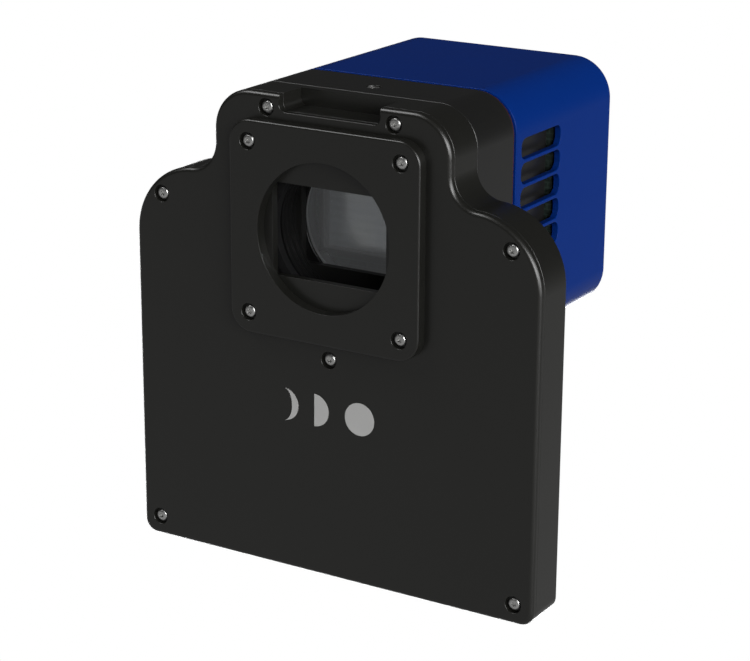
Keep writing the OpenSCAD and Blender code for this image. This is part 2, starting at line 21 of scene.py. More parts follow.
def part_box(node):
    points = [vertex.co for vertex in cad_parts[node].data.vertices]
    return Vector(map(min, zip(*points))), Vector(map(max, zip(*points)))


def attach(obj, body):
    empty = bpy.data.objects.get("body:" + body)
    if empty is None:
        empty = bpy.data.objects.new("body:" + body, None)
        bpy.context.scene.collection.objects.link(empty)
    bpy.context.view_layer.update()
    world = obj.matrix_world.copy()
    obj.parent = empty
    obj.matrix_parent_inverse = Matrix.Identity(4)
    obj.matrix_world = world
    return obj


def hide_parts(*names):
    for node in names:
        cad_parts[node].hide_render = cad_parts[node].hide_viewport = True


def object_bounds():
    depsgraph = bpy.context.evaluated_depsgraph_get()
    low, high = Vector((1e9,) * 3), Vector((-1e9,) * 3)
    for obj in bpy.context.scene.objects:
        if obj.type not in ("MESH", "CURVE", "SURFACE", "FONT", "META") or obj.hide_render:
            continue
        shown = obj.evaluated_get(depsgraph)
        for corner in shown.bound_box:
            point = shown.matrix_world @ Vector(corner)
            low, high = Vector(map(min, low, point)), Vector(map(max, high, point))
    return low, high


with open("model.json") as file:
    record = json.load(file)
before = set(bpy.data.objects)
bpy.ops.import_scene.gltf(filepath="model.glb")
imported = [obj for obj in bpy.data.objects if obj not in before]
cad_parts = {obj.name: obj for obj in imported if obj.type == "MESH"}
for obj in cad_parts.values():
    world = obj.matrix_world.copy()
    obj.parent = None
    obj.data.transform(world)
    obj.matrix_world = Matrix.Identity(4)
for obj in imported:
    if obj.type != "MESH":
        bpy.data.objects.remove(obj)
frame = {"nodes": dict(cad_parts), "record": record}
cad_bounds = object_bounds()

LOG = logging.getLogger("camera")
MM = 0.001
Array = np.ndarray
SCREW_NODES = (
    "plate_screws", "cover_screws", "body_screws", "chamber_screws", "shell_screws", "fan_screws"
)


class Body(Enum):
    """The body that the new pieces ride on; the moving bodies keep their CAD nodes."""

    CAMERA = "camera"


# ----------------------------------------------------------------------------------------------- finishes


@dataclass(frozen=True)
class Finish:
    """A surface finish: its colour and gloss, and the fine grain that breaks them up.

    The grain is a noise on Object coordinates. One noise of `grain_mm` lifts the surface by `relief_mm`, and
    a broad one of `cloud_mm` changes the roughness by `gloss_spread` and the colour by `colour_spread`.
    """

    colour: tuple[float, float, float]
    roughness: float = 0.5
    metallic: float = 0.0
    specular: float = 0.5
    grain_mm: float = 0.35
    relief_mm: float = 0.004
    cloud_mm: float = 18.0
    gloss_spread: float = 0.05
    colour_spread: float = 0.08
    stretch: tuple[float, float, float] = (1.0, 1.0, 1.0)

    def material(self, name: str) -> bpy.types.Material:
        """Builds the finish as a node material.

        Args:
            name: The name of the material.

        Returns:
            The new material.
        """
        made = bpy.data.materials.new(name)
        made.use_nodes = True
        tree = made.node_tree
        shader = tree.nodes["Principled BSDF"]
        shader.inputs["Metallic"].default_value = self.metallic
        shader.inputs["Specular IOR Level"].default_value = self.specular
        place = tree.nodes.new("ShaderNodeTexCoord").outputs["Object"]
        if self.stretch != (1.0, 1.0, 1.0):
            mapping = tree.nodes.new("ShaderNodeMapping")
            mapping.inputs["Scale"].default_value = self.stretch
            tree.links.new(place, mapping.inputs["Vector"])
            place = mapping.outputs["Vector"]
        self._colour_and_gloss(tree, shader, place)
        self._relief(tree, shader, place)
        self.extras(tree, shader, place)
        made.diffuse_color = (*self.colour, 1.0)
        return made

    def _noise(self, tree: bpy.types.NodeTree, place: bpy.types.NodeSocket, size_mm: float, detail: float):
        """Adds a noise whose features are `size_mm` across."""
        noise = tree.nodes.new("ShaderNodeTexNoise")
        noise.inputs["Scale"].default_value = 1.0 / (size_mm * MM)
        noise.inputs["Detail"].default_value = detail
        tree.links.new(place, noise.inputs["Vector"])
        return noise.outputs["Fac"]

    def _colour_and_gloss(self, tree, shader, place) -> None:
        """Varies the colour and the roughness with the broad noise."""
        cloud = self._noise(tree, place, self.cloud_mm, 4.0)
        ramp = tree.nodes.new("ShaderNodeMix")
        ramp.data_type = "RGBA"
        low = tuple(c * (1 - self.colour_spread) for c in self.colour)
        high = tuple(c * (1 + self.colour_spread) for c in self.colour)
        ramp.inputs[6].default_value = (*low, 1.0)
        ramp.inputs[7].default_value = (*high, 1.0)
        tree.links.new(cloud, ramp.inputs[0])
        tree.links.new(ramp.outputs[2], shader.inputs["Base Color"])
        spread = tree.nodes.new("ShaderNodeMapRange")
        spread.inputs["To Min"].default_value = max(self.roughness - self.gloss_spread, 0.02)
        spread.inputs["To Max"].default_value = min(self.roughness + self.gloss_spread, 1.0)
        tree.links.new(cloud, spread.inputs["Value"])
        tree.links.new(spread.outputs["Result"], shader.inputs["Roughness"])

    def _relief(self, tree, shader, place) -> None:
        """Lifts the surface with the fine noise."""
        bump = tree.nodes.new("ShaderNodeBump")
        bump.inputs["Strength"].default_value = 0.6
        bump.inputs["Distance"].default_value = self.relief_mm * MM
        tree.links.new(self._noise(tree, place, self.grain_mm, 2.0), bump.inputs["Height"])
        tree.links.new(bump.outputs["Normal"], shader.inputs["Normal"])

    def extras(self, tree, shader, place) -> None:
        """Hook for finishes that add to the plain one."""


@dataclass(frozen=True)
class CoatedGlass(Finish):
    """Polished glass, clear or tinted, with an optional faint even glow: a painted reflection of the bright
    room in front.
    """

    index: float = 1.45
    # Strength of the even glow: painted reflection of the bright room, not a lamp and not a coating's haze.
    painted_glow: float = 0.0
    relief_mm: float = 0.0002
    gloss_spread: float = 0.01

    def extras(self, tree, shader, place) -> None:
        """Lets light through, and adds an even glow that is a painted reflection of the bright room in front.
        """
        shader.inputs["Transmission Weight"].default_value = 1.0
        shader.inputs["IOR"].default_value = self.index
        # Painted reflection: the glass glows evenly though it is no lamp.
        shader.inputs["Emission Color"].default_value = (0.96, 0.98, 1.0, 1.0)
        shader.inputs["Emission Strength"].default_value = self.painted_glow


@dataclass(frozen=True)
class SolderMask(Finish):
    """A printed circuit board: tracks under green lacquer, as a brick grid lifted a little."""

    track_mm: float = 2.4

    def extras(self, tree, shader, place) -> None:
        """Draws the tracks lighter than the board."""
        turn = tree.nodes.new("ShaderNodeMapping")
        turn.inputs["Rotation"].default_value = (math.pi / 2, 0.0, 0.0)
        brick = tree.nodes.new("ShaderNodeTexBrick")
        brick.inputs["Scale"].default_value = 1.0 / (self.track_mm * 4 * MM)
        brick.inputs["Mortar Size"].default_value = 0.03
        board = self.colour
        brick.inputs["Color1"].default_value = (*board, 1.0)
        brick.inputs["Color2"].default_value = (*(c * 0.85 for c in board), 1.0)
        brick.inputs["Mortar"].default_value = (*(c * 1.9 for c in board), 1.0)
        tree.links.new(place, turn.inputs["Vector"])
        tree.links.new(turn.outputs["Vector"], brick.inputs["Vector"])
        tree.links.new(brick.outputs["Color"], shader.inputs["Base Color"])


@dataclass(frozen=True)
class SensorFace(Finish):
    """Bare silicon: fine rows in a smooth dark face."""

    pitch_mm: float = 0.6

    def extras(self, tree, shader, place) -> None:
        """Draws the rows as a faint wave."""
        wave = tree.nodes.new("ShaderNodeTexWave")
        wave.bands_direction = "Z"
        wave.inputs["Scale"].default_value = 1.0 / (self.pitch_mm * MM) / 20
        ramp = tree.nodes.new("ShaderNodeMix")
        ramp.data_type = "RGBA"
        ramp.inputs[6].default_value = (*self.colour, 1.0)
        ramp.inputs[7].default_value = (*(c * 1.15 for c in self.colour), 1.0)
        tree.links.new(place, wave.inputs["Vector"])
        tree.links.new(wave.outputs["Fac"], ramp.inputs[0])
        tree.links.new(ramp.outputs[2], shader.inputs["Base Color"])


@dataclass(frozen=True)
class LitLens(Finish):
    """The tinted lens of a status light, glowing a little."""

    glow: float = 0.6

    def extras(self, tree, shader, place) -> None:
        """Adds the glow."""
        shader.inputs["Emission Color"].default_value = (*self.colour, 1.0)
        shader.inputs["Emission Strength"].default_value = self.glow


STEEL = Finish((0.5, 0.5, 0.49), 0.36, 1.0, 0.5, 0.12, 0.001, 6.0, 0.06, 0.06)
GROUND_STEEL = Finish((0.66, 0.66, 0.67), 0.16, 1.0, 0.5, 0.1, 0.0006, 6.0, 0.04, 0.04)
BARE_ALUMINIUM = Finish((0.62, 0.63, 0.64), 0.34, 1.0, 0.5, 0.2, 0.002, 10.0, 0.06, 0.05)
PLASTIC = Finish((0.02, 0.02, 0.021), 0.5, 0.0, 0.4, 0.5, 0.01, 12.0, 0.05, 0.08)

FINISHES: dict[str, Finish] = {
    "black_anodised": Finish((0.0055, 0.0055, 0.0046), 0.32, 0.0, 0.45, 0.3, 0.002, 25.0, 0.02, 0.05),
    "body_black": Finish((0.0055, 0.0055, 0.0052), 0.32, 0.0, 0.45, 0.3, 0.002, 25.0, 0.02, 0.05),
    "blue_anodised": Finish((0.0009, 0.0145, 0.108), 0.32, 0.0, 0.05, 0.3, 0.002, 25.0, 0.02, 0.04),
    "stainless": STEEL,
    "wheel_black": Finish((0.005, 0.005, 0.0052), 0.5, 0.0, 0.15, 0.3, 0.004, 12.0, 0.05, 0.1),
    "baffle_black": Finish((0.003, 0.003, 0.003), 0.4, 0.0, 0.22, 0.3, 0.004, 8.0, 0.05, 0.1),
    "sink_black": Finish((0.006, 0.006, 0.006), 0.3, 0.0, 0.4, 0.4, 0.006, 8.0, 0.06, 0.1, (1.0, 1.0, 0.15)),
    "bare_aluminium": BARE_ALUMINIUM,
    "bearing_steel": GROUND_STEEL,
    "magnet_nickel": GROUND_STEEL,
    "motor_grey": Finish((0.16, 0.16, 0.17), 0.4, 0.3, 0.5, 0.4, 0.005, 12.0, 0.05, 0.06),
    "brass": Finish((0.7, 0.5, 0.2), 0.28, 1.0, 0.5, 0.15, 0.002, 6.0, 0.05, 0.06),
    "copper": Finish((0.66, 0.33, 0.2), 0.32, 1.0, 0.5, 0.2, 0.002, 8.0, 0.06, 0.08),
    "black_rubber": Finish((0.015, 0.015, 0.015), 0.75, 0.0, 0.3, 0.3, 0.01, 6.0, 0.06, 0.1),
    "red_gasket": Finish((0.03, 0.002, 0.003), 0.6, 0.0, 0.3, 0.4, 0.01, 6.0, 0.06, 0.12),
    "shutter_black": Finish((0.01, 0.01, 0.01), 0.55, 0.0, 0.3, 0.3, 0.004, 12.0, 0.05, 0.1),
    "cell_black": Finish((0.004, 0.004, 0.0042), 0.45, 0.0, 0.12, 0.3, 0.003, 8.0, 0.05, 0.08),
    "glass_clear": CoatedGlass((0.97, 0.985, 1.0), 0.02, 0.0, 0.12, index=1.25),
    "glass_red": CoatedGlass((0.85, 0.05, 0.05), 0.02),
    "glass_green": CoatedGlass((0.08, 0.7, 0.2), 0.02),
    "glass_blue": CoatedGlass((0.08, 0.2, 0.9), 0.02),
    "sensor_ceramic": Finish((0.012, 0.012, 0.012), 0.55, 0.0, 0.3, 0.25, 0.006, 6.0, 0.05, 0.1),
    "sensor_silicon": SensorFace((0.05, 0.055, 0.06), 0.12, 0.0, 0.8, 0.2, 0.0002, 8.0, 0.02, 0.05),
    "ceramic_white": Finish((0.75, 0.74, 0.7), 0.6, 0.0, 0.4, 0.3, 0.006, 6.0, 0.05, 0.04),
    "board_green": SolderMask((0.012, 0.018, 0.015), 0.45, 0.0, 0.3, 0.6, 0.01, 8.0, 0.05, 0.1),
    "chip_black": Finish((0.015, 0.015, 0.016), 0.55, 0.0, 0.4, 0.3, 0.008, 6.0, 0.05, 0.1),
    "ribbon_grey": Finish((0.3, 0.3, 0.31), 0.5, 0.0, 0.5, 1.27, 0.1, 10.0, 0.05, 0.05, (1.0, 0.02, 1.0)),
    "port_metal": Finish((0.6, 0.6, 0.61), 0.26, 1.0, 0.5, 0.2, 0.002, 5.0, 0.06, 0.05),
    "black_plastic": PLASTIC,
    "light_green": LitLens((0.1, 0.6, 0.16), 0.25),
    "nylon_natural": Finish((0.62, 0.6, 0.53), 0.5, 0.0, 0.4, 0.5, 0.008, 8.0, 0.05, 0.04),
}
# The window and sensor glasses glow faintly: painted reflection of the bright room in front.
REFLECTION_GLOW_GLASS = CoatedGlass((0.97, 0.985, 1.0), 0.02, 0.0, 0.12, index=1.3, painted_glow=0.016)
SENSOR_GLASS = replace(REFLECTION_GLOW_GLASS, painted_glow=0.007)
PRINT_WHITE = Finish((0.3, 0.3, 0.295), 0.6, 0.0, 0.3, 0.4, 0.004, 6.0, 0.04, 0.03)


class Paintbox:
    """Makes each finish's material once and puts it on the frame's nodes and on new pieces."""

    def __init__(self) -> None:
        """Makes a material for every slot of the record."""
        self._materials = {name: finish.material(name) for name, finish in FINISHES.items()}
        self._slots = {row["node"]: row["material_slot"] for row in frame["record"]["subparts"]}

    def dress_nodes(self) -> None:
        """Gives every CAD node the material of its own slot."""
        for name, node in frame["nodes"].items():
            for material_slot in node.material_slots:
                material_slot.material = self._materials[self._slots[name]]

    def dress(self, piece: bpy.types.Object, node: str) -> bpy.types.Object:
        """Gives a new piece the finish of the CAD node that it stands for."""
        piece.data.materials.append(self._materials[self._slots[node]])
        return piece


# ----------------------------------------------------------------------------------------------- geometry


@dataclass(frozen=True)
class Span:
    """The box of a CAD node, in millimetres."""

    low: Vector
    high: Vector

    @classmethod
    def of(cls, node: str) -> "Span":
        """Reads a node's box from the frame."""
        low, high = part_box(node)
        return cls(low / MM, high / MM)

    @property
    def size(self) -> Vector:
        """Width, depth and height."""
        return self.high - self.low

    @property
    def middle(self) -> Vector:
        """The centre of the box."""
        return (self.low + self.high) / 2


def axes_of(node: str, reach: float) -> list[tuple[float, float]]:
    """Finds the axes of a node's separate round solids, all running along Y.

    A solid's points all lie within `reach` of each other across Y, so the solids are told apart by taking one
    point after another and gathering all that lie that near to it.

    Args:
        node: A CAD node made of several round solids.
        reach: The greatest width of one solid, in millimetres.

    Returns:
        The X and Z of each axis, in millimetres.
    """
    mesh = frame["nodes"][node].data
    points = np.empty(len(mesh.vertices) * 3)
    mesh.vertices.foreach_get("co", points)
    points = points.reshape(-1, 3)[:, [0, 2]] / MM
    found = []
    while len(points):
        near = np.linalg.norm(points - points[0], axis=1) < reach * 1.5
        group = points[near]
        found.append(tuple((group.min(0) + group.max(0)) / 2))
        points = points[~near]
    return found


@dataclass(frozen=True)
class Outline:
    """A closed loop of points in a plane, with the way out of the material and the edge's radius at each."""

    points: Array
    normals: Array
    edge: Array

    @classmethod
    def arc(cls, centre, radius, start, end, steps=16, edge=0.3, hollow=False) -> "Outline":
        """An arc: centre plus radius times (cos, sin) of angles from start to end.

        Args:
            centre: The arc's centre.
            radius: Its radius.
            start: First angle in degrees.
            end: Last angle in degrees.
            steps: Number of stretches along it.
            edge: Radius of the rounded edge there.
            hollow: True where the centre lies outside the material.

        Returns:
            The arc as a part of an outline.
        """
        angles = np.radians(np.linspace(start, end, steps + 1))
        ways = np.stack([np.cos(angles), np.sin(angles)], axis=1)
        normals = -ways if hollow else ways
        return cls(np.asarray(centre, float) + radius * ways, normals, np.full(len(ways), float(edge)))

    @classmethod
    def joined(cls, *parts: "Outline") -> "Outline":
        """Puts several parts one after the other."""
        names = ("points", "normals", "edge")
        return cls(*(np.concatenate([getattr(part, name) for part in parts]) for name in names))

    @classmethod
    def circle(cls, centre, radius, steps=48, edge=0.2, hollow=True) -> "Outline":
        """A full circle, a hole unless `hollow` is false."""
        ring = cls.arc(centre, radius, 0, 360, steps, edge, hollow)
        return cls(ring.points[:-1], ring.normals[:-1], ring.edge[:-1])

    @classmethod
    def rounded(cls, size, radius, centre=(0, 0), steps=16, edge=0.3, hollow=False) -> "Outline":
        """A rectangle with round corners, starting at its right side and going by the top."""
        inner = np.asarray(size, float) / 2 - radius
        corners = [(1, 1, 0), (-1, 1, 90), (-1, -1, 180), (1, -1, 270)]
        parts = [
            cls.arc(np.asarray(centre) + inner * (x, z), radius, turn, turn + 90, steps, edge)
            for x, z, turn in corners
        ]
        whole = cls.joined(*parts)
        return whole.as_hole() if hollow else whole

    def as_hole(self) -> "Outline":
        """The same loop with the material outside it."""
        return Outline(self.points, -self.normals, self.edge)

    def edged(self, radius: float) -> "Outline":
        """The same loop with one radius of edge all the way round."""
        return Outline(self.points, self.normals, np.full(len(self.edge), radius))

    def mirrored(self) -> "Outline":
        """The same part on the other side of the Z axis, running the other way."""
        flip = np.array([-1.0, 1.0])
        return Outline((self.points * flip)[::-1], (self.normals * flip)[::-1], self.edge[::-1])

    def inset(self, distance) -> Array:
        """The loop's points moved into the material by a distance, or one distance for each point."""
        return self.points - self.normals * np.reshape(distance, (-1, 1))


class Plane(Enum):
    """How an outline's two numbers and a depth make a point: the order of the three."""

    FRONT = (0, 2, 1)
    SIDE = (1, 2, 0)
    TOP = (0, 1, 2)

    def place(self, loop: Array, depth) -> Array:
        """Puts a loop into space at a depth, or at one depth for each point."""
        made = np.empty((len(loop), 3))
        first, second, across = self.value
        made[:, first], made[:, second], made[:, across] = loop[:, 0], loop[:, 1], depth
        return made


class Solid:
    """Gathers rings of points, and the faces between them, into one closed mesh."""

    def __init__(self, plane: Plane = Plane.FRONT) -> None:
        """Starts an empty mesh whose rings lie in the given plane."""
        self.plane = plane
        self._points: list[Array] = []
        self._faces: list[Array] = []

    def ring(self, points: Array) -> Array:
        """Adds points and returns their numbers."""
        first = sum(len(p) for p in self._points)
        self._points.append(points)
        return np.arange(first, first + len(points))

    def wall(self, rings: Sequence[Array], skip: Iterable[int] = ()) -> None:
        """Joins each ring to the next with quads.

        Args:
            rings: Rings of equally many point numbers.
            skip: Stretches that stay open, by the number of their first point.
        """
        here = np.setdiff1d(np.arange(len(rings[0])), list(skip))
        there = (here + 1) % len(rings[0])
        for near, far in zip(rings, rings[1:]):
            self._faces.append(np.stack([near[here], near[there], far[there], far[here]], axis=1))

    def face(self, *loops: Array) -> None:
        """Fills the flat region inside the first loop and outside the others with triangles."""
        points = np.concatenate(self._points)
        numbers = np.concatenate(loops)
        lines = [[Vector(p) for p in points[loop]] for loop in loops]
        self._faces.append(numbers[np.array(tessellate_polygon(lines))])

    def rounding(self, outline: Outline, depth: float, way: int, steps: int) -> list[Array]:
        """Rings round a quarter circle from a flat face into a wall.

        At angle a the ring is inset by r (1 - sin a) and lies r (1 - cos a) below the face, r being the
        edge's radius at each point.

        Args:
            outline: The loop at its full size.
            depth: Where the flat face lies.
            way: 1 if the wall runs towards greater depth, and -1 if not.
            steps: Number of stretches round the edge.

        Returns:
            The rings, from the face to the wall.
        """
        made = []
        for angle in np.linspace(0, math.pi / 2, steps + 1):
            loop = outline.inset(outline.edge * (1 - math.sin(angle)))
            level = depth + way * outline.edge * (1 - math.cos(angle))
            made.append(self.ring(self.plane.place(loop, level)))
        return made

    def level(self, outline: Outline, depth: float, offset: float = 0.0) -> Array:
        """One ring of the outline at a depth."""
        return self.ring(self.plane.place(outline.inset(offset), depth))

    def hole(self, outline: Outline, start: float, end: float, steps: int = 3) -> tuple:
        """A through hole with rounded mouths.

        Returns:
            The first and last ring, which the faces on both sides use.
        """
        way = 1 if end > start else -1
        rings = self.rounding(outline, start, way, steps)
        rings += self.rounding(outline, end, -way, steps)[::-1]
        self.wall(rings)
        return rings[0], rings[-1]

    def counterbore(self, centre, start, floor, end, radius, inner) -> tuple:
        """A hole with a wide mouth down to `floor` and a narrow way on to `end`.

        Returns:
            The first and last ring.
        """
        mouth = Outline.circle(centre, radius, 40, 0.25)
        way = 1 if end > start else -1
        rings = self.rounding(mouth, start, way, 3)
        rings += [self.level(mouth, floor), self.level(mouth, floor, inner - radius)]
        rings += [self.level(mouth, end, inner - radius)]
        self.wall(rings)
        return rings[0], rings[-1]

    def blind(self, centre, radius, start, floor) -> Array:
        """A plain blind hole, and the ring of its mouth."""
        mouth = Outline.circle(centre, radius, 24, 0.1)
        rings = [self.level(mouth, start), self.level(mouth, floor)]
        self.wall(rings)
        self.face(rings[1])
        return rings[0]

    def bar(self, outline: Outline, start: float, end: float, steps: int) -> None:
        """A closed prism with rounded edges at both ends."""
        rings = self.rounding(outline, start, 1, steps) + self.rounding(outline, end, -1, steps)[::-1]
        self.wall(rings)
        self.face(rings[0])
        self.face(rings[-1])

    def turned(self, centre, profile: Sequence[tuple[float, float]], steps: int = 64) -> None:
        """A body of revolution about an axis through the plane.

        Args:
            centre: Where the axis meets the plane.
            profile: (radius, depth) pairs all the way round the section, which closes on itself.
            steps: Number of stretches round the axis.
        """
        loops = [(Outline.circle(centre, radius, steps).points, depth) for radius, depth in profile]
        rings = [self.ring(self.plane.place(loop, depth)) for loop, depth in loops]
        self.wall(rings + rings[:1])

    def finish(self, name: str, sharp: float = 34.0) -> bpy.types.Object:
        """Turns the gathered faces into an object.

        Args:
            name: The piece's name.
            sharp: Edges bent by more than this many degrees stay sharp.

        Returns:
            The object, at the origin, in metres.
        """
        mesh = bpy.data.meshes.new(name)
        points = np.concatenate(self._points) * MM
        mesh.from_pydata(points.tolist(), [], [f for block in self._faces for f in block.tolist()])
        work = bmesh.new()
        work.from_mesh(mesh)
        bmesh.ops.recalc_face_normals(work, faces=work.faces)
        work.to_mesh(mesh)
        work.free()
        mesh.shade_smooth()
        mesh.set_sharp_from_angle(angle=math.radians(sharp))
        piece = bpy.data.objects.new(name, mesh)
        bpy.context.scene.collection.objects.link(piece)
        weighted = piece.modifiers.new("even_shading", "WEIGHTED_NORMAL")
        weighted.keep_sharp = True
        return piece


def settle(
    piece: bpy.types.Object, paints: Paintbox, body: Body, *nodes: str, finish: Finish | None = None
) -> None:
    """Dresses a piece, makes it ride on its body and hides the CAD nodes that it stands for.

    Args:
        piece: The new piece.
        paints: Where its finish comes from.
        body: The body that it moves with.
        nodes: The CAD nodes that it replaces; the first gives its finish.
        finish: A finish of its own instead of the node's.
    """
    paints.dress(piece, nodes[0])
    if finish:
        piece.data.materials[0] = finish.material(f"{piece.name}_finish")
    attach(piece, body.value)
    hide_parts(*nodes)
    LOG.info("%s stands for %s", piece.name, ", ".join(nodes))


# ----------------------------------------------------------------------------------------------- castings


@dataclass(frozen=True)
class HousingShape:
    """The keyhole outline shared by the front cover and the wheel housing."""

    width: float
    bottom: float
    neck: float
    foot_radius: float = 6.0
    shoulder_radius: float = 31.3
    shoulder_height: float = -11.1
    hollow_radius: float = 12.8
    neck_radius: float = 17.8
    room_radius: float = 6.0
    notch_width: float = 48.4
    notch_floor: float = 49.5
    notch_radius: float = 3.0
    edge: float = 2.0
    notch_edge: float = 0.3

    @classmethod
    def from_frame(cls) -> "HousingShape":
        """Takes the driving sizes from the wheel housing's box."""
        box = Span.of("wheel_housing")
        return cls(box.size.x, box.low.z, box.high.z)

    def side(self, inset: float = 0.0, edge: float | None = None) -> Outline:
        """The right side from the foot to the top of the hollow: three arcs that run into each other."""
        edge = self.edge if edge is None else edge
        half = self.width / 2
        shoulder = np.array([half - self.shoulder_radius, self.shoulder_height])
        reach = self.shoulder_radius + self.hollow_radius
        across = self.neck + self.hollow_radius - shoulder[0]
        hollow = shoulder + (across, math.sqrt(reach**2 - across**2))
        bend = math.degrees(math.atan2(hollow[1] - shoulder[1], across))
        foot = (half - self.foot_radius, self.bottom + self.foot_radius)
        return Outline.joined(
            Outline.arc(foot, self.foot_radius - inset, -90, 0, 16, edge),
            Outline.arc(shoulder, self.shoulder_radius - inset, 0, bend, 36, edge),
            Outline.arc(hollow, self.hollow_radius + inset, bend + 180, 180, 24, edge, True),
        )

    def half(self, edge: float | None = None) -> Outline:
        """The right half of the outline from the foot to the notch's top corner."""
        edge = self.edge if edge is None else edge
        centre = self.neck - self.neck_radius
        corner = Outline.arc((centre, centre), self.neck_radius, 0, 90, 28, edge)
        end = Outline(np.array([[self.notch_width / 2, self.neck]]), np.array([[0.0, 1.0]]), np.array([edge]))
        return Outline.joined(self.side(0.0, edge), corner, end)

    def notch(self) -> Outline:
        """The notch's path between its top corners."""
        radius = self.notch_radius
        centre = (self.notch_width / 2 - radius, self.notch_floor + radius)
        right = Outline.arc(centre, radius, 0, -90, 8, self.notch_edge, True)
        return Outline.joined(right, right.mirrored())

    def cavity(self, wall: float) -> Outline:
        """The outline of the room inside the housing."""
        radius = self.room_radius
        centre = (self.neck - wall - radius, self.notch_floor - wall - radius)
        corner = Outline.arc(centre, radius, 0, 90, 10, 0.3)
        right = Outline.joined(self.side(wall, 0.3), corner)
        return Outline.joined(right, right.mirrored()).as_hole()


@dataclass
class Fasteners:
    """The button-head screws: a dome with a hexagonal socket, and a plain shank."""

    head_radius: float = 2.85
    head_height: float = 1.6
    socket_radius: float = 1.1
    socket_depth: float = 0.95
    shank_radius: float = 1.5
    bevel: float = 0.1
    flat_width: float = 0.35
    rim: float = 0.3
    tip_bevel: float = 0.3
    sink_radius: float = 3.7
    sink_depth: float = 2.2
    clearance_radius: float = 1.65
    tapped_radius: float = 1.55
    steps: int = 48

    def _hexagon(self, radius: float) -> Array:
        """Points round a hexagon: its distance goes with 1 / cos of the angle from the nearest side."""
        angles = np.radians(np.arange(self.steps) * 360 / self.steps)
        off = (angles + math.pi / 6) % (math.pi / 3) - math.pi / 6
        reach = radius * math.cos(math.pi / 6) / np.cos(off)
        return np.stack([np.cos(angles) * reach, np.sin(angles) * reach], axis=1)

    def _circle(self, radius: float) -> Array:
        """Points round a circle, one for each of the hexagon's."""
        angles = np.radians(np.arange(self.steps) * 360 / self.steps)
        return np.stack([np.cos(angles) * radius, np.sin(angles) * radius], axis=1)

    def add(self, solid: Solid, axis: tuple[float, float], face: float, end: float) -> None:
        """Adds one screw along Y.

        The dome is a circle arc from the flat's rim to the head's rim: its radius falls with the sine and its
        height with the cosine of the same angle.

        Args:
            solid: The mesh that takes it.
            axis: X and Z of its axis.
            face: Y of the head's outermost point.
            end: Y of the shank's tip.
        """
        way = 1.0 if end > face else -1.0
        flat = self.socket_radius + self.flat_width
        loops = [(self._hexagon(self.socket_radius), self.socket_depth)]
        loops += [(self._hexagon(self.socket_radius), self.bevel)]
        loops += [(self._circle(self.socket_radius + self.bevel), 0.0), (self._circle(flat), 0.0)]
        for angle in np.linspace(0.25, 1.0, 6) * math.pi / 2:
            radius = flat + (self.head_radius - flat) * math.sin(angle)
            loops.append((self._circle(radius), (self.head_height - self.rim) * (1 - math.cos(angle))))
        loops += [(self._circle(self.head_radius), self.head_height)]
        loops += [(self._circle(self.shank_radius), self.head_height)]
        loops += [(self._circle(self.shank_radius), abs(end - face) - self.tip_bevel)]
        loops += [(self._circle(self.shank_radius - self.tip_bevel), abs(end - face))]
        rings = [solid.ring(Plane.FRONT.place(loop + axis, face + way * depth)) for loop, depth in loops]
        solid.wall(rings)
        solid.face(rings[0])
        solid.face(rings[-1])

    def axes(self, node: str) -> list[tuple[float, float]]:
        """Where the screws of a CAD node are."""
        return axes_of(node, 2 * self.head_radius)

    def sinks(self, solid: Solid, node: str, start: float, floor: float, end: float) -> list[tuple]:
        """A counterbored hole for each screw of a CAD node, down to `floor` and then on to `end`."""
        sizes = (self.sink_radius, self.clearance_radius)
        return [solid.counterbore(axis, start, floor, end, *sizes) for axis in self.axes(node)]

    def tapped(self, solid: Solid, node: str, start: float, floor: float) -> list[Array]:
        """A blind hole for the tip of each screw of a CAD node."""
        return [solid.blind(axis, self.tapped_radius, start, floor) for axis in self.axes(node)]

    def build(self, paints: Paintbox, node: str) -> None:
        """Rebuilds every screw of a CAD node.

        Args:
            paints: Where the finish comes from.
            node: The CAD node, whose heads face the front unless it is a rear one.
        """
        box = Span.of(node)
        rear = node in ("shell_screws", "fan_screws", "chamber_screws")
        face, end = (box.high.y, box.low.y) if rear else (box.low.y, box.high.y)
        solid = Solid()
        for axis in self.axes(node):
            self.add(solid, axis, face, end)
        settle(solid.finish(node + "_set"), paints, Body.CAMERA, node)


@dataclass
class AdapterPlate:
    """The square plate with the nose bore."""

    corner_radius: float = 10.0
    bore_radius: float = 32.0
    edge: float = 0.9
    bore_edge: float = 0.08

    def build(self, paints: Paintbox, screws: Fasteners) -> None:
        """Builds the plate with its bore and counterbores."""
        box = Span.of("adapter_plate")
        front, back = box.low.y, box.high.y
        solid = Solid()
        outer = Outline.rounded((box.size.x, box.size.z), self.corner_radius, edge=self.edge, steps=20)
        rings = solid.rounding(outer, front, 1, 5) + [solid.level(outer, back)]
        solid.wall(rings)
        bore = Outline.circle((0, 0), self.bore_radius, 144, self.bore_edge)
        holes = [solid.hole(bore, front, back, 4)]
        holes += screws.sinks(solid, "plate_screws", front, front + screws.sink_depth, back)
        solid.face(rings[0], *(h[0] for h in holes))
        solid.face(rings[-1], *(h[1] for h in holes))
        settle(solid.finish("adapter_plate_body"), paints, Body.CAMERA, "adapter_plate")


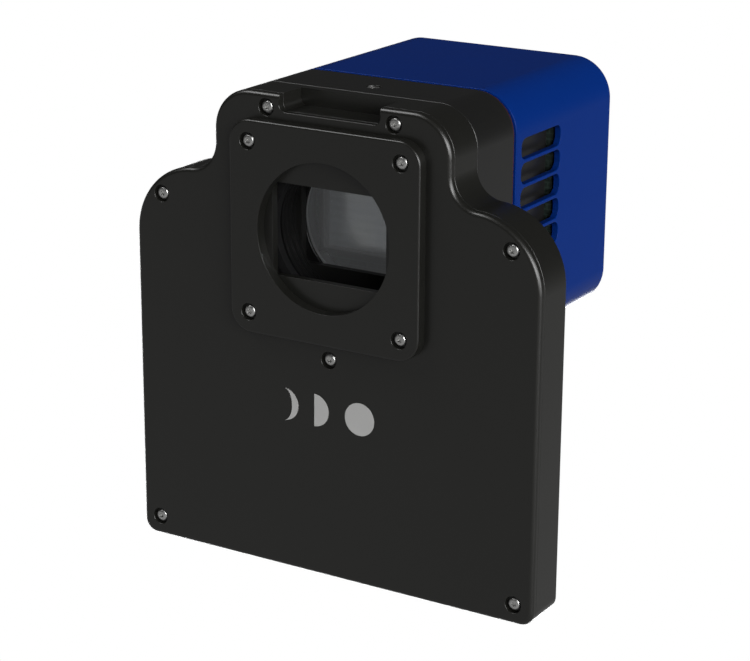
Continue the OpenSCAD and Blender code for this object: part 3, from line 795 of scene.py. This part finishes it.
@dataclass
class FrontCover:
    """The flat cover of the wheel housing."""

    shape: HousingShape
    window: tuple[float, float] = (55.0, 40.0)
    window_radius: float = 0.6
    window_edge: float = 0.06
    seam: float = 0.25

    def build(self, paints: Paintbox, screws: Fasteners) -> None:
        """Builds the cover: outline and notch in one ring, the window and the seven counterbores."""
        box = Span.of("front_cover")
        front, back = box.low.y, box.high.y
        solid = Solid()
        half = self.shape.half()
        outer = Outline.joined(half, self.shape.notch(), half.mirrored())
        rings = solid.rounding(outer, front, 1, 8)
        rings += solid.rounding(outer.edged(self.seam), back, -1, 3)[::-1]
        solid.wall(rings)
        window = Outline.rounded(
            self.window, self.window_radius, steps=6, edge=self.window_edge, hollow=True
        )
        holes = [solid.hole(window, front, back)]
        holes += screws.sinks(solid, "cover_screws", front, front + screws.sink_depth, back)
        solid.face(rings[0], *(h[0] for h in holes))
        solid.face(rings[-1], *(h[1] for h in holes))
        settle(solid.finish("front_cover_body"), paints, Body.CAMERA, "front_cover")


@dataclass
class WheelHousing:
    """The deep tray that holds the filter wheel."""

    shape: HousingShape
    wall: float = 4.0
    floor: float = 3.5
    notch_back: float = 5.2
    notch_edge: float = 0.15
    seam: float = 0.25
    rear_edge: float = 0.6
    boss_radius: float = 4.6
    overlap: float = 0.05
    baffle_clearance: float = 0.05
    axle_hole_radius: float = 4.0
    screw_sink: float = 1.6

    def build(self, paints: Paintbox, screws: Fasteners) -> None:
        """Builds the tray: outside, notch, rim, room, floor and back."""
        box = Span.of("wheel_housing")
        front, back = box.low.y, box.high.y
        solid = Solid()
        outer_first, outer_last = self._outside(solid, front, back)
        room = self.shape.cavity(self.wall)
        room_rings = solid.rounding(room, front, 1, 2) + [solid.level(room, back - self.floor)]
        solid.wall(room_rings)
        solid.face(outer_first, room_rings[0])
        self._floor(solid, room_rings[-1], outer_last, back, screws)
        self._bosses(solid, front, back, screws)
        settle(solid.finish("wheel_housing_body"), paints, Body.CAMERA, "wheel_housing")

    def _outside(self, solid: Solid, front: float, back: float) -> tuple[Array, Array]:
        """The outer wall: with the notch up to its back wall, and plain behind it."""
        half = self.shape.half(self.seam)
        notched = Outline.joined(half, self.shape.notch().edged(self.notch_edge), half.mirrored())
        plain = Outline.joined(half, half.mirrored()).edged(self.rear_edge)
        step = back - self.notch_back
        rings = solid.rounding(notched, front, 1, 3) + [solid.level(notched, step)]
        solid.wall(rings)
        count = len(half.points)
        at_notch = rings[-1][count - 1 : len(rings[-1]) - count + 1]
        solid.face(at_notch)
        around = np.concatenate([rings[-1][:count], rings[-1][-count:]])
        behind = solid.rounding(plain, back, -1, 4)[::-1]
        solid.wall([around, *behind])
        return rings[0], behind[-1]

    def _floor(self, solid: Solid, room: Array, rear: Array, back: float, screws: Fasteners) -> None:
        """The floor between the room and the back face, with its bore and screw holes."""
        inner = back - self.floor
        radius = Span.of("light_baffle").size.x / 2 + self.baffle_clearance
        bore = Outline.circle((0, 0), radius, 96, 0.2)
        axle = Span.of("wheel_axle").middle
        holes = [
            solid.hole(bore, inner, back, 2),
            solid.hole(Outline.circle((axle.x, axle.z), self.axle_hole_radius, 32, 0.1), inner, back, 1),
        ]
        holes += screws.sinks(solid, "body_screws", inner, inner + self.screw_sink, back)
        blind = screws.tapped(solid, "motor_screws", inner, back - 1)
        solid.face(room, *(h[0] for h in holes), *blind)
        solid.face(rear, *(h[1] for h in holes))

    def _bosses(self, solid: Solid, front: float, back: float, screws: Fasteners) -> None:
        """A tapped post for each cover screw that stands clear of the neck's thick wall."""
        near, far = front + self.overlap, back - self.floor + self.overlap
        bore = screws.tapped_radius
        profile = [(self.boss_radius, near), (self.boss_radius, far), (bore, far), (bore, near)]
        for axis in screws.axes("cover_screws"):
            if abs(axis[0]) > self.shape.neck:
                solid.turned(axis, profile, 32)


@dataclass
class SensorHousing:
    """The square black housing of the cooled sensor."""

    corner_radius: float = 17.8
    wall: float = 6.0
    front_wall: float = 3.5
    window: tuple[float, float] = (55.0, 40.0)
    window_radius: float = 0.6
    edge: float = 0.3
    plug_sink: float = 1.8
    plug_clearance: float = 0.2
    plug_shank_hole: float = 2.05
    corner_steps: int = 28

    def build(self, paints: Paintbox, screws: Fasteners) -> None:
        """Builds the housing with its window, its room and the plug's hole in the top."""
        box = Span.of("sensor_housing")
        front, back, top = box.low.y, box.high.y, box.high.z
        floor = front + self.front_wall
        size = np.array([box.size.x, box.size.z])
        solid = Solid()
        steps = self.corner_steps
        outer = Outline.rounded(size, self.corner_radius, edge=self.edge, steps=steps)
        near, far = solid.rounding(outer, front, 1, 3), solid.rounding(outer, back, -1, 3)[::-1]
        room = Outline.rounded(
            size - 2 * self.wall, self.corner_radius - self.wall, edge=0.3, steps=steps, hollow=True
        )
        mouth, end = solid.rounding(room, back, -1, 2), solid.level(room, floor)
        for rings in (near, far, mouth):
            solid.wall(rings)
        solid.wall([near[-1], far[0]], skip=[steps])
        solid.wall([mouth[-1], end], skip=[steps])
        solid.face(far[-1], mouth[0])
        self._plug_hole(solid, top, (near[-1], far[0]), (mouth[-1], end))
        window = Outline.rounded(self.window, self.window_radius, steps=6, edge=0.2, hollow=True)
        through = solid.hole(window, front, floor, 2)
        tapped = screws.tapped(solid, "body_screws", front, floor - 0.3)
        chamber = screws.tapped(solid, "chamber_screws", floor, front + 1)
        solid.face(near[0], through[0], *tapped)
        solid.face(end, through[1], *chamber)
        settle(solid.finish("sensor_housing_body"), paints, Body.CAMERA, "sensor_housing")

    def _plug_hole(self, solid: Solid, top: float, outside, inside) -> None:
        """The flat top, outside and inside, with the stepped hole of the purge plug between them."""
        plug = Span.of("purge_plug")
        solid.plane = Plane.TOP
        centre = (plug.middle.x, plug.middle.y)
        sizes = (plug.size.x / 2 + self.plug_clearance, self.plug_shank_hole)
        mouths = solid.counterbore(centre, top, top - self.plug_sink, top - self.wall, *sizes)
        solid.plane = Plane.FRONT
        here, there = self.corner_steps, self.corner_steps + 1
        for (near, far), mouth in zip((outside, inside), mouths):
            solid.face(np.array([near[here], near[there], far[there], far[here]]), mouth)


@dataclass
class RearShell:
    """The blue shell with its side vents, fan grilles and port openings."""

    corner_radius: float = 17.8
    wall: float = 3.0
    front_edge: float = 0.5
    rear_edge: float = 1.8
    vent_count: int = 7
    vent_length: float = 35.6
    vent_height: float = 9.05
    vent_pitch: float = 10.65
    vent_start: float = 4.8
    vent_radius: float = 3.6
    grille_radii: tuple[float, ...] = (6.5, 11.0, 15.5)
    slot_half: float = 1.5
    spoke: float = 2.0
    screw_sink: float = 1.6
    port_gap: float = 0.15
    port_radius: float = 0.6
    corner_steps: int = 28

    def build(self, paints: Paintbox, screws: Fasteners) -> None:
        """Builds the shell: skins, vents, rim and back panel."""
        box = Span.of("rear_shell")
        front, back, half = box.low.y, box.high.y, box.high.x
        panel = back - self.wall
        size = np.array([box.size.x, box.size.z])
        steps = self.corner_steps
        solid = Solid()
        outer = Outline.rounded(size, self.corner_radius, edge=self.front_edge, steps=steps)
        near = solid.rounding(outer, front, 1, 3)
        far = solid.rounding(outer.edged(self.rear_edge), back, -1, 8)[::-1]
        room = Outline.rounded(
            size - 2 * self.wall, self.corner_radius - self.wall, edge=0.3, steps=steps, hollow=True
        )
        mouth, end = solid.rounding(room, front, 1, 2), solid.level(room, panel)
        sides = {1: len(outer.points) - 1, -1: 2 * steps + 1}
        for rings in (near, far, mouth):
            solid.wall(rings)
        solid.wall([near[-1], far[0]], skip=sides.values())
        solid.wall([mouth[-1], end], skip=sides.values())
        solid.wall([near[0], mouth[0]])
        for side, column in sides.items():
            self._vents(solid, side, column, half, front, (near[-1], far[0]), (mouth[-1], end))
        holes = self._panel_holes(solid, back, panel, screws)
        solid.face(far[-1], *(h[0] for h in holes))
        solid.face(end, *(h[1] for h in holes))
        settle(solid.finish("rear_shell_body"), paints, Body.CAMERA, "rear_shell")

    def _vents(self, solid: Solid, side: int, column: int, half, front, outside, inside) -> None:
        """One flat side with its row of slots, outside and inside."""
        solid.plane = Plane.SIDE
        middle = front + self.vent_start + self.vent_length / 2
        slots = []
        for i in range(self.vent_count):
            centre = (middle, (i - (self.vent_count - 1) / 2) * self.vent_pitch)
            size = (self.vent_length, self.vent_height)
            slot = Outline.rounded(size, self.vent_radius, centre, 8, 0.3, hollow=True)
            slots.append(solid.hole(slot, side * half, side * (half - self.wall), 3))
        solid.plane = Plane.FRONT
        for (near, far), number in ((outside, 0), (inside, 1)):
            after = (column + 1) % len(near)
            corners = np.array([near[column], near[after], far[after], far[column]])
            solid.face(corners, *(s[number] for s in slots))

    def _grille(self, centre) -> list[Outline]:
        """Curved slots in three circles, four to a circle, each with round ends.

        A slot's sides are arcs at its middle radius plus and minus its half width, and each end is nearly a
        half circle.
        """
        centre = np.asarray(centre)
        made = []
        for radius in self.grille_radii:
            gap = math.degrees(math.asin((self.spoke / 2 + self.slot_half) / radius))
            for quarter in range(4):
                first, last = 45 + 90 * quarter + gap, 135 + 90 * quarter - gap
                turns = np.radians([first, last])
                ends = centre + radius * np.stack([np.cos(turns), np.sin(turns)], axis=1)
                made.append(
                    Outline.joined(
                        Outline.arc(centre, radius + self.slot_half, first, last, 12, 0.3),
                        Outline.arc(ends[1], self.slot_half, last + 9, last + 171, 8, 0.3),
                        Outline.arc(centre, radius - self.slot_half, last, first, 12, 0.3, True),
                        Outline.arc(ends[0], self.slot_half, first + 189, first + 351, 8, 0.3),
                    )
                )
        return [outline.as_hole() for outline in made]

    def _panel_holes(self, solid: Solid, back: float, panel: float, screws: Fasteners) -> list[tuple]:
        """All the holes of the back panel."""
        holes = []
        for fan in ("left_fan_frame", "right_fan_frame"):
            middle = Span.of(fan).middle
            holes += [solid.hole(o, back, panel, 2) for o in self._grille((middle.x, middle.z))]
        for node in ("shell_screws", "fan_screws"):
            holes += screws.sinks(solid, node, back, back - self.screw_sink, panel)
        for node in ("usb_port", "guide_port"):
            box = Span.of(node)
            size = (box.size.x + 2 * self.port_gap, box.size.z + 2 * self.port_gap)
            place = (box.middle.x, box.middle.z)
            mouth = Outline.rounded(size, self.port_radius, place, 4, 0.3, hollow=True)
            holes.append(solid.hole(mouth, back, panel, 2))
        jack = Span.of("power_jack")
        axis = (jack.middle.x, jack.middle.z)
        mouth = Outline.circle(axis, jack.size.x / 2 + self.port_gap, 48, 0.3)
        holes.append(solid.hole(mouth, back, panel, 2))
        lights = Span.of("status_lights")
        for axis in axes_of("status_lights", lights.size.z):
            mouth = Outline.circle(axis, lights.size.z / 2 + self.port_gap, 32, 0.2)
            holes.append(solid.hole(mouth, back, panel, 2))
        return holes


# ----------------------------------------------------------------------------------------------- light path


@dataclass
class LightPath:
    """What shows through the nose bore: the baffle, the retainer and the glasses."""

    groove_count: int = 3
    groove_depth: float = 1.2
    wall: float = 5.5
    bevel: float = 0.3
    retainer_bore: float = 28.4
    retainer_edge: float = 0.12

    def build(self, paints: Paintbox) -> None:
        """Builds each ring and glass of the light path."""
        self._baffle(paints)
        self._retainer(paints)
        self._window(paints)
        # The sensor glass glows faintly: painted reflection of the bright room in front.
        sensor_glass = SENSOR_GLASS.material("sensor_glass_finish")
        for place in frame["nodes"]["sensor_glass"].material_slots:
            place.material = sensor_glass

    def _baffle(self, paints: Paintbox) -> None:
        """A tube whose inside is a row of sharp-edged grooves."""
        box = Span.of("light_baffle")
        outer = box.size.x / 2
        inner = outer - self.wall
        pitch = box.size.y / self.groove_count
        starts = box.low.y + pitch * np.arange(self.groove_count)
        deep = inner + self.groove_depth
        inside = []
        for y in starts:
            inside += [(inner, y + 0.02), (inner, y + 0.35 * pitch)]
            inside += [(deep, y + 0.55 * pitch), (deep, y + 0.9 * pitch)]
        inside.append((inner, box.high.y))
        bevel = self.bevel
        outside = [(outer - bevel, box.high.y), (outer, box.high.y - bevel)]
        outside += [(outer, box.low.y + bevel), (outer - bevel, box.low.y)]
        solid = Solid()
        solid.turned((0, 0), [*inside, *outside], 128)
        settle(solid.finish("light_baffle_tube", 20), paints, Body.CAMERA, "light_baffle")

    def _retainer(self, paints: Paintbox) -> None:
        """The flat ring that holds the chamber's window."""
        box = Span.of("window_retainer")
        inner, outer, edge = self.retainer_bore, box.size.x / 2, self.retainer_edge
        profile = [(inner, box.low.y + edge), (inner, box.high.y), (outer, box.high.y)]
        profile += [(outer, box.low.y + edge), (outer - edge, box.low.y), (inner + edge, box.low.y)]
        solid = Solid()
        solid.turned((0, 0), profile, 128)
        settle(solid.finish("window_retainer_ring"), paints, Body.CAMERA, "window_retainer")

    def _window(self, paints: Paintbox) -> None:
        """The chamber's round window with ground edges."""
        box = Span.of("chamber_window")
        disc = Outline.circle((0, 0), box.size.x / 2, 128, 0.25, hollow=False)
        solid = Solid()
        solid.bar(disc, box.low.y, box.high.y, 2)
        piece = solid.finish("chamber_window_glass")
        # The window's finish glows faintly: painted reflection of the bright room in front.
        settle(piece, paints, Body.CAMERA, "chamber_window", finish=REFLECTION_GLOW_GLASS)


@dataclass
class MoonMark:
    """A printed row of three moon phases on the front cover: crescent, half and full."""

    radius: float = 7.2
    starts: tuple[float, float, float] = (-22.4, -7.2, 15.2)
    bulges: tuple[float, float, float] = (-0.55, 0.0, 1.0)
    height: float = -76.5
    thickness: float = 0.03
    edge: float = 0.005
    steps: int = 48

    def build(self) -> None:
        """Builds the three printed shapes as thin plates on the cover's face."""
        face = Span.of("front_cover").low.y
        solid = Solid()
        for start, bulge in zip(self.starts, self.bulges):
            centre = np.array([start, self.height])
            solid.bar(self._phase(centre, bulge), face - self.thickness, face + self.thickness, 1)
        piece = solid.finish("moon_mark")
        piece.data.materials.append(PRINT_WHITE.material("print_white"))
        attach(piece, Body.CAMERA.value)
        LOG.info("%s is printed on the cover", piece.name)

    def _phase(self, centre: Array, bulge: float) -> Outline:
        """The lit part of a moon: the right limb is a half circle, the shadow's edge a half ellipse.

        The ellipse is as tall as the circle and `bulge` times as wide, measured to the left.
        """
        angles = np.linspace(-math.pi / 2, math.pi / 2, self.steps + 1)
        limb = np.stack([np.cos(angles), np.sin(angles)], axis=1)
        shadow = np.stack([-bulge * np.cos(angles), np.sin(angles)], axis=1)[::-1][1:-1]
        loop = np.concatenate([limb, shadow])
        ways = np.concatenate([limb, shadow])
        return Outline(centre + self.radius * loop, ways, np.full(len(loop), self.edge))


# ----------------------------------------------------------------------------------------------- studio


@dataclass(frozen=True)
class Panel:
    """A round soft panel in the room: its direction, its angle and faded rim in degrees, and its glow."""

    way: tuple[float, float, float]
    reach: float
    fade: float
    glow: float


@dataclass
class Studio:
    """The camera, the pale floor, the soft lights and the world around the object."""

    azimuth: float = 31.352
    elevation: float = 17.74
    roll: float = 0.362
    distance: float = 0.92592
    target: tuple[float, float, float] = (0.025546, 0.0, -0.034357)
    lens: float = 109.205
    floor_half: float = 12.0
    dim: float = 0.04
    low_glow: tuple[float, float] = (0.335, 0.33)
    tint: tuple[float, float, float] = (1.0, 1.0, 1.0)
    panels: tuple[Panel, ...] = (
        Panel((-0.49, -0.3, 0.81), 12.0, 7.0, 8.0),
        Panel((0.78, -0.6, 0.3), 12.0, 6.0, 14.0),
        Panel((0.95, -0.1, 0.2), 16.0, 8.0, 7.0),
        Panel((-0.5, 0.75, -0.43), 13.0, 8.0, 14.0),
    )

    def camera(self) -> None:
        """Sets the camera at its azimuth, elevation and distance from the target, turned by its roll."""
        azimuth, elevation, roll = (math.radians(a) for a in (self.azimuth, self.elevation, self.roll))
        back = Vector((math.sin(azimuth), -math.cos(azimuth), math.tan(elevation))).normalized()
        right = Vector((0, 0, 1)).cross(back).normalized()
        up = back.cross(right)
        across = right * math.cos(roll) + up * math.sin(roll)
        upright = up * math.cos(roll) - right * math.sin(roll)
        data = bpy.data.cameras.new("view")
        data.lens = self.lens
        data.sensor_width = 36.0
        data.clip_start = 0.02
        data.clip_end = 60.0
        view = bpy.data.objects.new("view", data)
        turn = Matrix((across, upright, back)).transposed().to_4x4()
        view.matrix_world = Matrix.Translation(Vector(self.target) + back * self.distance) @ turn
        bpy.context.scene.collection.objects.link(view)
        bpy.context.scene.camera = view

    def floor(self) -> None:
        """A wide pale floor at the object's lowest point, as white as the room, which the lights pass by."""
        low = cad_bounds[0][2]
        half = self.floor_half
        mesh = bpy.data.meshes.new("floor")
        corners = [(-half, -half, low), (half, -half, low), (half, half, low), (-half, half, low)]
        mesh.from_pydata(corners, [], [(0, 1, 2, 3)])
        plane = bpy.data.objects.new("floor", mesh)
        bpy.context.scene.collection.objects.link(plane)
        pale = bpy.data.materials.new("pale_floor")
        pale.use_nodes = True
        shader = pale.node_tree.nodes["Principled BSDF"]
        shader.inputs["Base Color"].default_value = (0.0, 0.0, 0.0, 1.0)
        shader.inputs["Specular IOR Level"].default_value = 0.0
        shader.inputs["Emission Color"].default_value = (1.0, 1.0, 1.0, 1.0)
        shader.inputs["Emission Strength"].default_value = 1.0
        mesh.materials.append(pale)
        plane.visible_diffuse = plane.visible_glossy = plane.visible_transmission = False
        plane.visible_shadow = False

    def world(self) -> None:
        """The room: white to the camera, and for the light a dim room with soft panels.

        Below the horizon the light rises with the steepness of the direction, sooner in front than behind.
        Each panel adds its glow where the direction lies within its angle.
        """
        world = bpy.data.worlds.new("room")
        bpy.context.scene.world = world
        world.use_nodes = True
        tree = world.node_tree
        room = tree.nodes["Background"]
        way = tree.nodes.new("ShaderNodeTexCoord").outputs["Generated"]
        parts = tree.nodes.new("ShaderNodeSeparateXYZ")
        tree.links.new(way, parts.inputs["Vector"])
        total = self.dim
        for glow, steepest, share in zip(self.low_glow, (-0.2, -0.5), ((1.0, 0.0), (0.0, 1.0))):
            below = self._ramp(tree, parts.outputs["Z"], (0.1, steepest), (0.0, glow))
            side = self._ramp(tree, parts.outputs["Y"], (-0.3, 0.3), share)
            total = self._sum(tree, self._times(tree, below, side), total)
        for panel in self.panels:
            dot = tree.nodes.new("ShaderNodeVectorMath")
            dot.operation = "DOT_PRODUCT"
            dot.inputs[1].default_value = Vector(panel.way).normalized()
            tree.links.new(way, dot.inputs[0])
            limits = (math.cos(math.radians(panel.reach + panel.fade)), math.cos(math.radians(panel.reach)))
            glow = self._ramp(tree, dot.outputs["Value"], limits, (0.0, panel.glow))
            total = self._sum(tree, glow, total)
        room.inputs["Color"].default_value = (*self.tint, 1.0)
        tree.links.new(total, room.inputs["Strength"])
        seen = tree.nodes.new("ShaderNodeBackground")
        seen.inputs["Color"].default_value = (1.0, 1.0, 1.0, 1.0)
        rays = tree.nodes.new("ShaderNodeLightPath")
        mix = tree.nodes.new("ShaderNodeMixShader")
        tree.links.new(rays.outputs["Is Camera Ray"], mix.inputs["Fac"])
        tree.links.new(room.outputs["Background"], mix.inputs[1])
        tree.links.new(seen.outputs["Background"], mix.inputs[2])
        tree.links.new(mix.outputs["Shader"], tree.nodes["World Output"].inputs["Surface"])

    @staticmethod
    def _ramp(tree, value, limits: tuple[float, float], results: tuple[float, float]):
        """A smooth step of a value from one result to another."""
        step = tree.nodes.new("ShaderNodeMapRange")
        step.interpolation_type = "SMOOTHSTEP"
        step.inputs["From Min"].default_value, step.inputs["From Max"].default_value = limits
        step.inputs["To Min"].default_value, step.inputs["To Max"].default_value = results
        tree.links.new(value, step.inputs["Value"])
        return step.outputs["Result"]

    @staticmethod
    def _times(tree, first, second):
        """The product of two values."""
        node = tree.nodes.new("ShaderNodeMath")
        node.operation = "MULTIPLY"
        tree.links.new(first, node.inputs[0])
        tree.links.new(second, node.inputs[1])
        return node.outputs["Value"]

    @staticmethod
    def _sum(tree, first, second):
        """The sum of a value and another, which may be a plain number."""
        node = tree.nodes.new("ShaderNodeMath")
        tree.links.new(first, node.inputs[0])
        if isinstance(second, float):
            node.inputs[1].default_value = second
        else:
            tree.links.new(second, node.inputs[1])
        return node.outputs["Value"]

    def build(self) -> None:
        """Builds the whole studio."""
        bpy.context.scene.view_settings.view_transform = "Standard"
        self.floor()
        self.world()


# ----------------------------------------------------------------------------------------------- all


def main() -> None:
    """Builds the camera piece by piece, then the studio."""
    logging.basicConfig(level=logging.INFO, format="%(message)s")
    studio = Studio()
    studio.camera()
    paints = Paintbox()
    paints.dress_nodes()
    screws = Fasteners()
    shape = HousingShape.from_frame()
    AdapterPlate().build(paints, screws)
    FrontCover(shape).build(paints, screws)
    WheelHousing(shape).build(paints, screws)
    SensorHousing().build(paints, screws)
    RearShell().build(paints, screws)
    LightPath().build(paints)
    for node in SCREW_NODES:
        screws.build(paints, node)
    MoonMark().build()
    studio.build()


if __name__ == "__main__":
    main()
